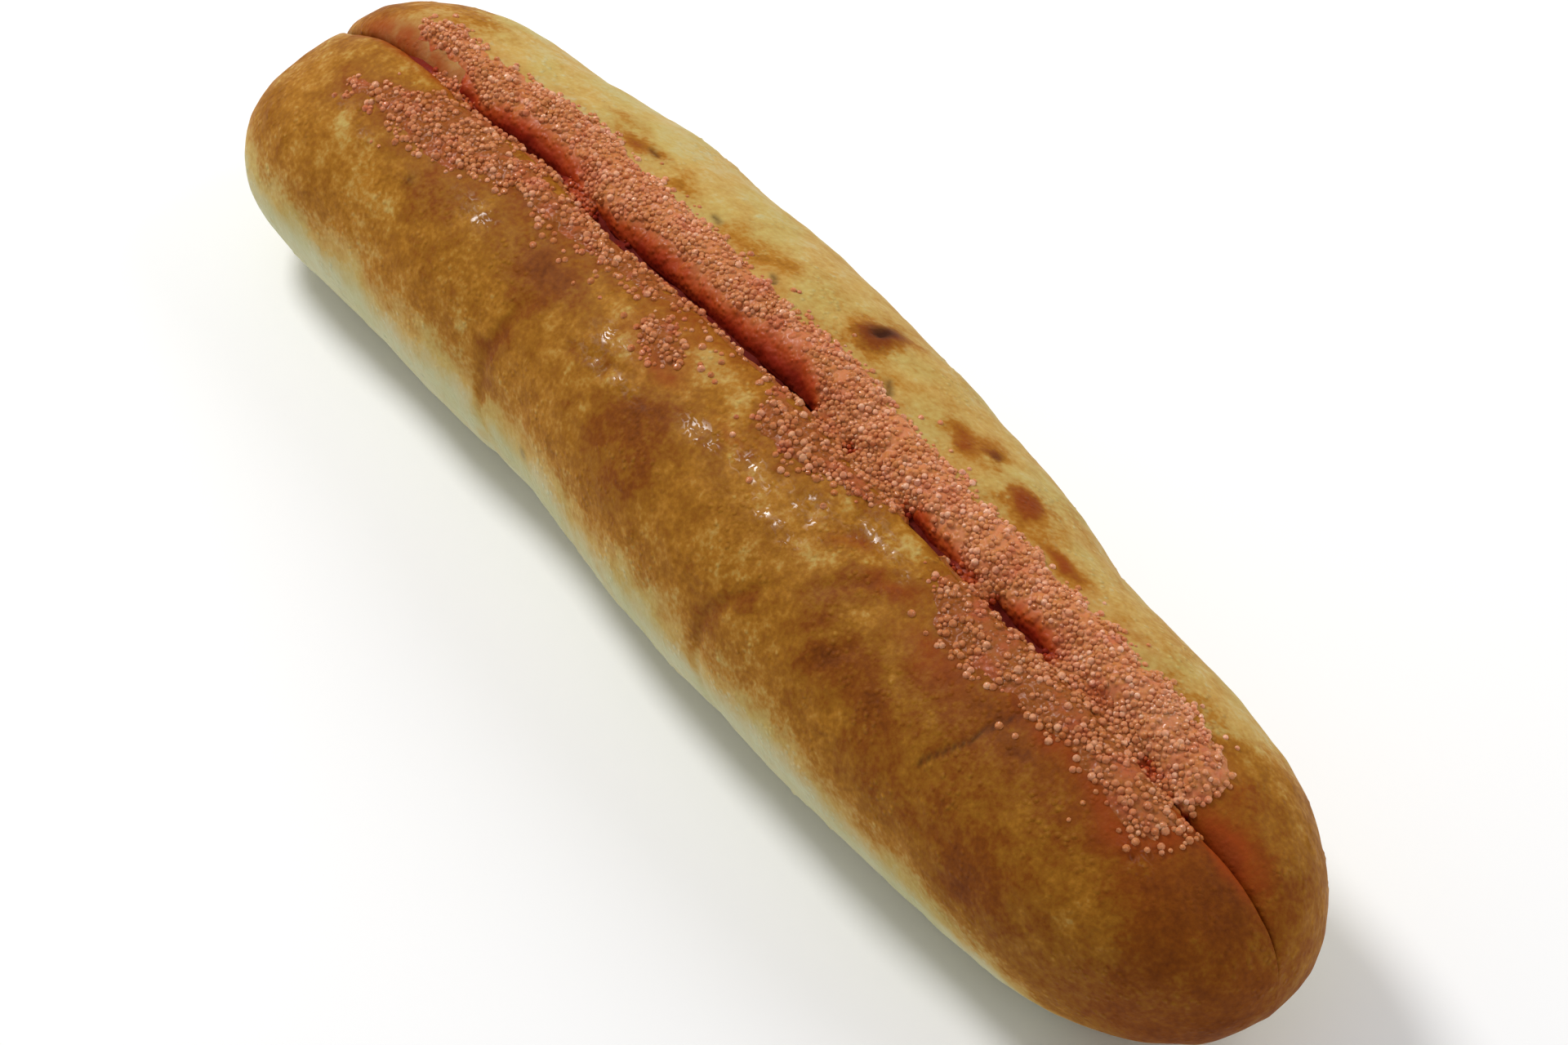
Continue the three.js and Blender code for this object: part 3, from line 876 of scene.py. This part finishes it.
def grain_mesh():
    """One grain: a low sphere a millimetre across, which the nodes scale."""
    segments, bands = 7, 4
    vertices = [(0, 0, 0.5)]
    for i in range(1, bands):
        up = math.pi * i / bands
        for j in range(segments):
            turn = 2 * math.pi * (j + 0.5 * (i % 2)) / segments
            ring = 0.5 * math.sin(up)
            vertices.append((ring * math.cos(turn), ring * math.sin(turn), 0.5 * math.cos(up)))
    vertices.append((0, 0, -0.5))
    last = len(vertices) - 1
    faces = []
    for j in range(segments):
        k = (j + 1) % segments
        faces.append((0, 1 + j, 1 + k))
        for i in range(bands - 2):
            a, b = 1 + i * segments, 1 + (i + 1) * segments
            faces.append((a + j, b + j, b + k, a + k))
        a = 1 + (bands - 2) * segments
        faces.append((a + j, last, a + k))
    mesh = bpy.data.meshes.new(GRAIN_SHAPE)
    mesh.from_pydata(vertices, [], faces)
    mesh.shade_smooth()
    return mesh


def tree_sockets(face):
    """Gives the grain tree its inputs and its output."""
    face.new_socket("Geometry", in_out="INPUT", socket_type="NodeSocketGeometry")
    face.new_socket("Grain", in_out="INPUT", socket_type="NodeSocketObject")
    for name in ("Diameter", "Spacing", "Variation", "Sink"):
        face.new_socket(name, in_out="INPUT", socket_type="NodeSocketFloat")
    face.new_socket("Seed", in_out="INPUT", socket_type="NodeSocketInt")
    face.new_socket("Geometry", in_out="OUTPUT", socket_type="NodeSocketGeometry")


def maths(add, operation, a, b):
    return add("ShaderNodeMath", {0: a, 1: b}, operation=operation).outputs[0]


def stored(add, geometry, name, value):
    """Stores a value under this name for each grain."""
    inputs = {"Geometry": geometry, "Name": name, "Value": value}
    kind = "GeometryNodeStoreNamedAttribute"
    return add(kind, inputs, data_type="FLOAT", domain="INSTANCE").outputs[0]


def scattered(add, given):
    """Grains on the surface, each of its own size, none nearer to another than the spacing."""
    where = add("GeometryNodeInputNamedAttribute", {"Name": "grains"}).outputs["Attribute"]
    packed = maths(add, "DIVIDE", 1.0, given["Spacing"])
    points = {
        "Mesh": given["Geometry"],
        "Distance Min": given["Spacing"],
        "Density Max": maths(add, "MULTIPLY", maths(add, "MULTIPLY", packed, packed), MOST_GRAINS),
        "Density Factor": where,
        "Seed": given["Seed"],
    }
    spread = add("GeometryNodeDistributePointsOnFaces", points, distribute_method="POISSON")
    low = maths(add, "SUBTRACT", 1.0, given["Variation"])
    high = maths(add, "ADD", 1.0, given["Variation"])
    size = add("FunctionNodeRandomValue", {2: low, 3: high, "Seed": given["Seed"]}, data_type="FLOAT")
    copies = {
        "Points": spread.outputs["Points"],
        "Instance": add("GeometryNodeObjectInfo", {"Object": given["Grain"]}).outputs["Geometry"],
        "Rotation": spread.outputs["Rotation"],
        "Scale": maths(add, "MULTIPLY", size.outputs[1], given["Diameter"]),
    }
    return add("GeometryNodeInstanceOnPoints", copies).outputs[0]


def grain_tree(material):
    """Geometry Nodes: scatters grains over the surface it is given, and keeps the surface."""
    tree = bpy.data.node_groups.new(GRAIN_TREE, "GeometryNodeTree")
    tree_sockets(tree.interface)
    add = functools.partial(add_node, tree)
    given = add("NodeGroupInput").outputs
    grains = scattered(add, given)
    lift = maths(add, "SUBTRACT", 0.5, given["Sink"])
    up = add("ShaderNodeCombineXYZ", {"Z": maths(add, "MULTIPLY", lift, given["Diameter"])}).outputs[0]
    raised = {"Instances": grains, "Translation": up, "Local Space": True}
    grains = add("GeometryNodeTranslateInstances", raised).outputs[0]
    tint = add("FunctionNodeRandomValue", {"Seed": TINT_SEED}, data_type="FLOAT").outputs[1]
    grains = stored(add, stored(add, grains, "tint", tint), "grain", 1.0)
    made = add("GeometryNodeRealizeInstances", {"Geometry": grains})
    both = add("GeometryNodeJoinGeometry")
    for geometry in (made.outputs[0], given["Geometry"]):
        tree.links.new(geometry, both.inputs[0])
    painted = add("GeometryNodeSetMaterial", {"Geometry": both.outputs[0], "Material": material})
    tree.links.new(painted.outputs[0], add("NodeGroupOutput").inputs[0])
    return tree


def with_grains(surface, tree, grain, s, seed, sink, coarse=1.0):
    """The surface with its grains as one plain mesh object of the same name."""
    modifier = surface.modifiers.new("grains", "NODES")
    modifier.node_group = tree
    values = {"Grain": grain, "Diameter": coarse * s.grain, "Spacing": s.spacing}
    values.update({"Variation": s.variation, "Sink": sink, "Seed": seed})
    for item in tree.interface.items_tree:
        if item.item_type == "SOCKET" and item.in_out == "INPUT" and item.name in values:
            modifier[item.identifier] = values[item.name]
    bpy.context.view_layer.update()
    evaluated = surface.evaluated_get(bpy.context.evaluated_depsgraph_get())
    mesh = bpy.data.meshes.new_from_object(evaluated)
    surface.modifiers.clear()
    surface.data = mesh
    mesh.name = surface.name
    mesh.shade_smooth()
    return surface


# ---- roe pieces


SHOWN = -0.09  # paste whose top lies lower than this, in mm above the skin, is left out
SUNK = 0.1  # how far the top of the paste lies under the skin outside a patch
SLAB_BELOW = 0.45  # how far a patch's underside lies under the skin
LEAST_PACKED = {PALE_LIP: 0.45, ISLAND: 0.35}  # how thickly grains lie in the gaps of a patch
USUAL_LEAST_PACKED = 0.26
FILLING_END, FILLING_COLUMNS, FILLING_THICKNESS = 113, 22, 4


def patch_slab(skin, name, columns, thickness, values):
    """A closed slab along some columns of the skin, from a little below it up to this thickness."""
    rows = np.flatnonzero((thickness[:, columns] > SHOWN).any(1))
    rows = np.arange(max(rows[0] - 1, 1), min(rows[-1] + 2, len(skin.points) - 1))
    pick = np.ix_(rows, columns)
    top = skin.points[pick] + skin.normals[pick] * thickness[pick][..., None]
    bottom = skin.points[pick] - skin.normals[pick] * SLAB_BELOW
    # No grains grow on the underside.
    pairs = {key: (v[pick], v[pick][:, ::-1] * (key != "grains")) for key, v in values.items()}
    return slab_object(name, top, bottom, pairs)


def halo(skin):
    """1 under the roe, fading to 0 a few millimetres outside it."""
    inside = np.max([inside_outline(skin.points, outline) for outline in OUTLINES.values()], 0)
    return ramp(inside + 1.5 * ripple(skin.points, 4, 61), -3.5, 0.8)


def inside_patch(skin, name, ragged):
    """How far each point is inside a patch in mm. Towards the cut it reaches over the lip's edge."""
    x = skin.points[..., 0]
    inside = inside_outline(skin.points, OUTLINES[name])
    on_lip = (skin.place > LIP_FROM + 2) & (x > -84) & (x < 101) & (inside > -1.5)
    return np.where(on_lip, np.maximum(inside, 4), inside) + ragged


def pale_lip_look(skin, ragged, from_cut):
    """On the pale lip: where the grains lie close, where there are any, how wet and how rosy it is."""
    p = skin.points
    close = ramp(ripple(p, 3.0, 47), -0.45, 0.1) * (1 - 0.75 * spot(p, 97.5, 3.4, 4.5, 3.4))
    bare = along(BARE_INNER_LIP, p[..., 0])
    grained = ramp(from_cut + 0.4 * ragged, bare - 0.6, bare + 0.3) * (skin.depth < 0.5)
    wet = 1 - ramp(from_cut + 0.3 * ragged, 0.2, bare + 0.8)
    return close, grained, wet, 0.55 + 0.45 * ramp(p[..., 0], -10, 40)


def brown_lip_look(skin, ragged, from_cut):
    """The same for the brown lip, whose grains begin close to the cut."""
    p = skin.points
    close = ramp(ripple(p, 2.6, 48), -0.3, 0.35)
    bare = 0.4
    grained = ramp(from_cut + 0.4 * ragged, bare - 0.6, bare + 0.3) * (skin.depth < 0.5)
    wet = ramp(skin.place, 20.2, 20.9)
    return close, grained, wet, 0.1 + 0.12 * ramp(p[..., 0], 50, 90)


def patch_grains(skin, name, edge, close, thinned):
    """How thickly a patch's grains lie: packed inside its outline, and a few strewn round it."""
    least = LEAST_PACKED.get(name, USUAL_LEAST_PACKED)
    if name == ISLAND:
        packed = ramp(edge, -0.9, 0.4)
    else:
        packed = ramp(edge, -0.9, 0.6) * (1 - ramp(skin.depth, 0.6, 2.4))
    packed = packed * (least + (1 - least) * close) * (1 - 0.5 * thinned)
    strewn = 0.03 + 0.15 * (name == BLUNT_END) * ramp(skin.points[..., 0], -50, -40)
    return np.maximum(packed, strewn * ramp(edge, -6, -1) * (skin.place < CUT_EDGE))


def patch_paste(skin, name, edge, lumps, thinned, own_side):
    """A patch's thickness in mm: thin at its rim and where it turns into the cut, below 0 outside it."""
    full = bpy.context.scene.roe_settings.thickness / MM
    thick = full * (0.15 + 0.85 * ramp(edge, 0.3, 4)) * lumps
    thick = np.minimum(thick, full * (1.25 - 0.7 * ramp(skin.place, LIP_FROM + 2, CUT_EDGE)))
    if name == ISLAND:
        thick = 1.3 * thick
    if name != PALE_LIP:
        thick = 0.5 * thick
    cover = ramp(edge, 0.3, 2.2) * (1 - ramp(skin.depth, 0.6, 2.4)) * own_side * (1 - 0.9 * thinned)
    return thick * cover - SUNK * (1 - cover)


def coverage_of(skin):
    """For each patch: its thickness in mm, how thickly the grains lie, how wet and how rosy it is."""
    p = skin.points
    ragged = 1.5 * ripple(p, 5, 41) + 1.1 * ripple(p, 2, 42)
    lumps = 1 + 0.75 * ripple(p, 3.8, 43) + 0.5 * ripple(p, 1.8, 44)
    flush = 0.25 * ripple(p, 9, 45)
    from_cut = np.abs(p[..., 1] - skin.cut)
    pale_lip = pale_lip_look(skin, ragged, from_cut)
    brown_lip = brown_lip_look(skin, ragged, from_cut)
    fields = {}
    for name in OUTLINES:
        own_side = skin.side > 0 if name == PALE_LIP else skin.side < 0
        close, grained, wet, rosy = pale_lip if name == PALE_LIP else brown_lip
        thinned = (name == BLUNT_END) * ramp(p[..., 0], -28, -14) * ramp(from_cut, 1.6, 2.6)
        edge = inside_patch(skin, name, ragged)
        paste = patch_paste(skin, name, edge, lumps, thinned, own_side)
        grains = patch_grains(skin, name, edge, close, thinned) * grained * own_side
        fields[name] = paste, grains, wet, rosy + flush
    return fields


def filling_rows(skin, s):
    """The roe in the cut: points of its top and of its underside in mm, and its depth under the lips."""
    half = skin.place[0] == LIP_FROM
    brown_lip = skin.points[:, half & (skin.side[0] < 0)][:, 0]
    pale_lip = skin.points[:, half & (skin.side[0] > 0)][:, 0]
    x = brown_lip[:, 0]
    rows = np.flatnonzero(np.abs(x) < FILLING_END)
    brown_lip, pale_lip, x = brown_lip[rows], pale_lip[rows], x[rows]
    t = np.linspace(0, 1, FILLING_COLUMNS)[None, :, None]
    top = brown_lip[:, None] * (1 - t) + pale_lip[:, None] * t
    depth = along(FILL_DEPTH, x)[:, None] + 0 * top[..., 0]
    rough = 0.35 * ripple(top, 3, 51) + 0.2 * ripple(top, 1.4, 52)
    droop = 3 * np.abs(2 * t[..., 0] - 1) ** 5
    top[..., 2] -= depth + rough + droop + 0.5 * s.thickness / MM
    bottom = top.copy()
    bottom[..., 2] -= FILLING_THICKNESS
    return top, bottom, depth


def filling_object(skin, s):
    """The roe in the cut: grains where it lies high, dark red where it lies deep or is pinched, partly
    soaked roe and partly painted shade.
    """
    top, bottom, depth = filling_rows(skin, s)
    pinched = ramp(top[..., 0], 97, 100) + ramp(-top[..., 0], 88, 92)
    dry = 0 * depth
    fields = {
        "grains": ((1 - ramp(depth, 1.0, 2.6)) * (1 - pinched), dry),
        # wet rises with depth under the lips and where the cut is pinched shut, so the roe is darkened
        # there as painted shade as well as soaked.
        "wet": (np.maximum(ramp(depth, 0.5, 2.4), 0.85 * pinched), dry + 1),
        "rosy": (dry + 0.4, dry),
        **{key: (dry, dry) for key in ("tint", "grain", "glossy")},
    }
    return slab_object("filling", top, bottom, fields)


def spread_object(skin, name, thick, grains, wet, rosy):
    """The paste of one patch, on the columns of the skin that it covers."""
    shown = ((thick > SHOWN) | (grains > 0.01)).any(0)
    shown &= (skin.place[0] > 9) & (skin.side[0] == (1 if name == PALE_LIP else -1))
    values = {"grains": grains, "wet": wet, "rosy": rosy, "tint": 0 * wet, "grain": 0 * wet}
    values["glossy"] = spot(skin.points, 88, 3.5, 5, 2.4)
    return patch_slab(skin, name.replace("roe_", "spread_"), np.flatnonzero(shown), thick, values)


def roe_kit(s):
    """The roe's material, its node tree and one grain, made once and used for every patch."""
    material = bpy.data.materials.get(ROE_MATERIAL) or roe_material(s)
    tree = bpy.data.node_groups.get(GRAIN_TREE) or grain_tree(material)
    return material, tree, bpy.data.objects.new(GRAIN_SHAPE, grain_mesh())


# ---- operators


class BAGUETTE_OT_stage(bpy.types.Operator):
    """Make the floor, the lights and the camera"""

    bl_idname = "baguette.stage"
    bl_label = "Stage"

    def execute(self, context):
        s = context.scene.stage_settings
        make_floor(s)
        make_lights(context, s)
        make_camera(context, s)
        return {"FINISHED"}


def view_axes(s):
    """The view's right, up and back directions."""
    a, e = math.radians(s.azimuth), math.radians(s.elevation)
    back = Vector((math.sin(a) * math.cos(e), -math.cos(a) * math.cos(e), math.sin(e)))
    right = Vector((math.cos(a), math.sin(a), 0))
    return right, back.cross(right), back


def make_floor(s):
    reach = 3.0
    mesh = bpy.data.meshes.new("floor")
    corners = [(-reach, -reach, 0), (reach, -reach, 0), (reach, reach, 0), (-reach, reach, 0)]
    mesh.from_pydata(corners, [], [(0, 1, 2, 3)])
    floor = bpy.data.objects.new("floor", mesh)
    bpy.context.scene.collection.objects.link(floor)
    mesh.materials.append(floor_material(s))


def area_light(name, power, size, place, aim=(0, 0, 0.02)):
    data = bpy.data.lights.new(name, "AREA")
    data.energy = power
    data.shape = "DISK"
    data.size = size
    light = bpy.data.objects.new(name, data)
    light.location = place
    light.rotation_euler = (Vector(aim) - Vector(place)).to_track_quat("-Z", "Y").to_euler()
    bpy.context.scene.collection.objects.link(light)
    return light


def make_lights(context, s):
    area_light("key", s.key, 0.3, (-0.62, -0.12, 0.8))
    area_light("fill", s.fill, 0.8, (0.5, 0.75, 0.75))
    world = bpy.data.worlds.new("even_light")
    world.use_nodes = True
    world.node_tree.nodes["Background"].inputs["Color"].default_value = (1, 1, 1, 1)
    world.node_tree.nodes["Background"].inputs["Strength"].default_value = s.sky
    context.scene.world = world
    context.scene.view_settings.view_transform = "Standard"


def make_camera(context, s):
    right, up, back = view_axes(s)
    middle = Vector(AIM) * MM
    data = bpy.data.cameras.new("camera")
    data.lens = s.lens
    data.sensor_width = 36
    data.clip_start = 0.01
    camera = bpy.data.objects.new("camera", data)
    camera.location = middle + back * s.distance + right * s.aim_right + up * s.aim_up
    camera.rotation_euler = back.to_track_quat("Z", "Y").to_euler()
    bpy.context.scene.collection.objects.link(camera)
    context.scene.camera = camera


class BAGUETTE_OT_loaf(bpy.types.Operator):
    """Make the loaf's crust, with the cut in its top"""

    bl_idname = "baguette.loaf"
    bl_label = "Loaf"

    def execute(self, context):
        skin = loaf_skin()
        near_roe = halo(skin)
        values = {
            "browning": np.clip(browning(skin) + 0.1 * near_roe * (skin.side < 0), 0, 1),
            "burn": burning(skin),
            "stain": staining(skin, near_roe),
            "buttered": skin.wrinkled**1.5,
        }
        crust = loaf_object(skin, values)
        finish_piece(crust, crust_material(context.scene.loaf_settings), "loaf")
        return {"FINISHED"}


class BAGUETTE_OT_roe(bpy.types.Operator):
    """Spread roe on both lips of the cut"""

    bl_idname = "baguette.roe"
    bl_label = "Roe on the lips"

    def execute(self, context):
        s = context.scene.roe_settings
        material, tree, grain = roe_kit(s)
        skin = loaf_skin()
        for seed, (name, fields) in enumerate(coverage_of(skin).items(), s.seed):
            paste = spread_object(skin, name, *fields)
            coarse, sink = (1.0, s.sink) if name == PALE_LIP else (1.12, 0.9 * s.sink)
            with_grains(paste, tree, grain, s, seed, sink, coarse)
            finish_piece(paste, material, name)
        bpy.data.objects.remove(grain)
        return {"FINISHED"}


class BAGUETTE_OT_filling(bpy.types.Operator):
    """Fill the cut with melted roe"""

    bl_idname = "baguette.filling"
    bl_label = "Roe in the cut"

    def execute(self, context):
        s = context.scene.roe_settings
        material, tree, grain = roe_kit(s)
        filling = filling_object(loaf_skin(), s)
        with_grains(filling, tree, grain, s, s.seed + FILLING_SEED, s.sink)
        finish_piece(filling, material, "roe_filling")
        bpy.data.objects.remove(grain)
        return {"FINISHED"}


class BAGUETTE_PT_panel(bpy.types.Panel):
    """Lists what the add-on makes"""

    bl_idname = "BAGUETTE_PT_panel"
    bl_label = "Baguette"
    bl_space_type = "VIEW_3D"
    bl_region_type = "UI"
    bl_category = "Baguette"

    def draw(self, context):
        layout = self.layout
        for name in ("loaf_settings", "roe_settings", "stage_settings"):
            box = layout.box()
            group = getattr(context.scene, name)
            for key in group.__annotations__:
                box.prop(group, key)
        for operator in OPERATORS:
            layout.operator(operator.bl_idname)


GROUPS = (
    ("loaf_settings", LoafSettings),
    ("roe_settings", RoeSettings),
    ("stage_settings", StageSettings),
)
OPERATORS = (BAGUETTE_OT_stage, BAGUETTE_OT_loaf, BAGUETTE_OT_roe, BAGUETTE_OT_filling)
CLASSES = (*(group for _, group in GROUPS), *OPERATORS, BAGUETTE_PT_panel)


def register():
    for cls in CLASSES:
        bpy.utils.register_class(cls)
    for name, group in GROUPS:
        setattr(bpy.types.Scene, name, PointerProperty(type=group))


def unregister():
    for name, _ in GROUPS:
        delattr(bpy.types.Scene, name)
    for cls in reversed(CLASSES):
        bpy.utils.unregister_class(cls)


def main():
    register()
    bpy.ops.baguette.stage()
    bpy.ops.baguette.loaf()
    bpy.ops.baguette.roe()
    bpy.ops.baguette.filling()


if __name__ == "__main__":
    main()
